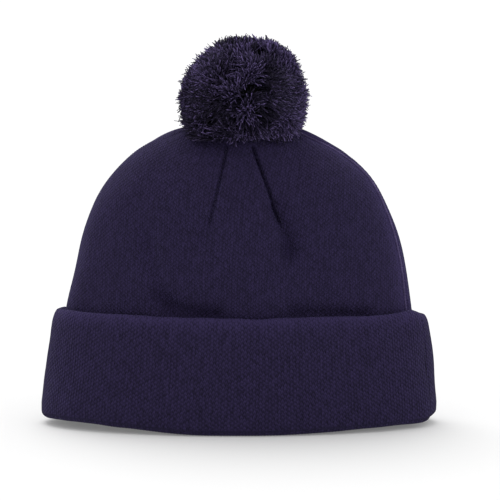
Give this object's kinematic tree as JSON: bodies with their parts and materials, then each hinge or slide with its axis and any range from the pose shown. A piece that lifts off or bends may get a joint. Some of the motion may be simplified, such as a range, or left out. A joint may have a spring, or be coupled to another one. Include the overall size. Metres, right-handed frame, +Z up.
{
  "type": "pom pom beanie",
  "caption": "Knitted winter hat with a lined, darted crown, a doubled turned-up cuff and a cut-yarn pom that leans and twists on its tie.",
  "frame": {"origin": "middle of the footprint, at the level the turned edge of the cuff stands on", "axes": "+Z up to the pom, -Y the front of the hat, +X the right as seen from the front"},
  "size_m": [0.225, 0.104, 0.2209],
  "materials": {
    "crown_knit": "matte fine-gauge acrylic knit",
    "lining_knit": "matte fine-gauge acrylic knit",
    "cuff_knit": "matte doubled acrylic knit",
    "seam_ridge": "matte overlocked knit edge",
    "sewing_thread": "slightly glossy polyester thread",
    "tie_cord": "matte plied yarn",
    "pom_yarn": "cut acrylic yarn pile"
  },
  "bodies": {
    "hat": {"crown_front_panel": "crown_knit", "crown_back_panel": "crown_knit", "lining_front_panel": "lining_knit", "lining_back_panel": "lining_knit", "cuff_front_band": "cuff_knit", "cuff_back_band": "cuff_knit", "left_side_seam": "seam_ridge", "right_side_seam": "seam_ridge", "lining_left_seam": "sewing_thread", "lining_right_seam": "sewing_thread", "cuff_left_seam": "sewing_thread", "cuff_right_seam": "sewing_thread", "cuff_joining_seam": "sewing_thread", "front_left_dart_seam": "sewing_thread", "front_right_dart_seam": "sewing_thread", "back_left_dart_seam": "sewing_thread", "back_right_dart_seam": "sewing_thread", "crown_gather_thread": "sewing_thread", "tie_knot": "tie_cord"},
    "tie_shank": {"pom_tie_shank": "tie_cord"},
    "tie_hitch": {"pom_tie_hitch": "tie_cord"},
    "pom": {"pom_binding": "tie_cord", "pom_pile": "pom_yarn"}
  },
  "joints": [
    {"name": "pom_sway", "type": "hinge", "parent": "hat", "child": "tie_shank", "pos_m": [0.0028, -0.004, 0.17237], "axis": [0, 1, 0], "range_deg": [-8, 8], "stiffness_Nm_per_rad": 0.03},
    {"name": "pom_nod", "type": "hinge", "parent": "tie_shank", "child": "tie_hitch", "pos_m": [0.0028, -0.004, 0.17237], "axis": [1, 0, 0], "range_deg": [-8, 8], "stiffness_Nm_per_rad": 0.03},
    {"name": "pom_twist", "type": "hinge", "parent": "tie_hitch", "child": "pom", "pos_m": [0.0028, -0.004, 0.17237], "axis": [0, 0, 1], "range_deg": [-45, 45], "stiffness_Nm_per_rad": 0.004}
  ]
}
